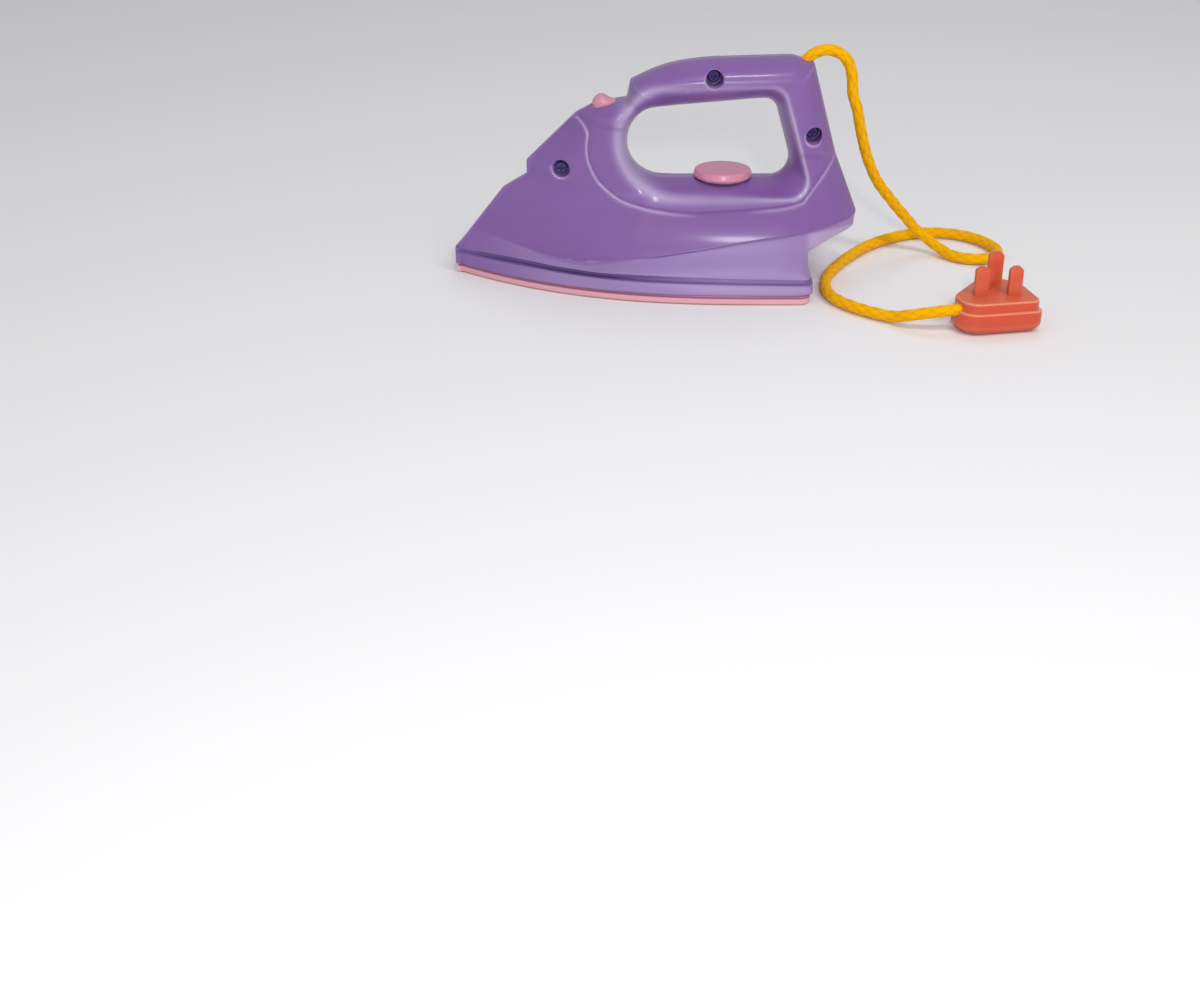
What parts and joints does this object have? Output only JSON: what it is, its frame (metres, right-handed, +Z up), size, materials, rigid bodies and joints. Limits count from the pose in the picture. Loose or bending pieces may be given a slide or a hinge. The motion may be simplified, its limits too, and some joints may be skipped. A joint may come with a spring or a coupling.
{
  "type": "toy flat iron",
  "caption": "Toy flat iron with an open loop handle, a pressing spray button, a turning dial, a pointed sole and a rope cord that ends in a toy mains plug.",
  "frame": {"origin": "middle of the iron's own footprint, on the surface that the sole rests on", "axes": "-X towards the nose, +X towards the tail, +Y towards the side without screw recesses, +Z up"},
  "size_m": [0.2538, 0.1342, 0.1015],
  "materials": {
    "shell": "satin moulded purple",
    "trim": "satin moulded pink",
    "rope": "braided amber rope",
    "plug": "satin moulded orange",
    "steel": "zinc plated"
  },
  "bodies": {
    "iron": {"left_shell": "shell", "right_shell": "shell", "sole_plate": "trim", "case_screws": "steel", "spray_spring": "steel", "cord": "rope", "cord_knot": "rope", "plug_base": "plug", "plug_face": "plug", "plug_knot": "rope", "plug_screw": "steel"},
    "spray": {"spray_button": "trim"},
    "selector": {"dial": "trim", "dial_washer": "steel", "dial_screw": "steel"}
  },
  "joints": [
    {"name": "spray_press", "type": "slide", "parent": "iron", "child": "spray", "axis": [0, 0, -1], "range_m": [0, 0.0025], "stiffness_N_per_m": 300, "springref_m": -0.002, "deforming": ["spray_spring"]},
    {"name": "dial_turn", "type": "hinge", "parent": "iron", "child": "selector", "pos_m": [0.03, 0, 0.045], "axis": [0, 0, 1], "continuous": true}
  ]
}
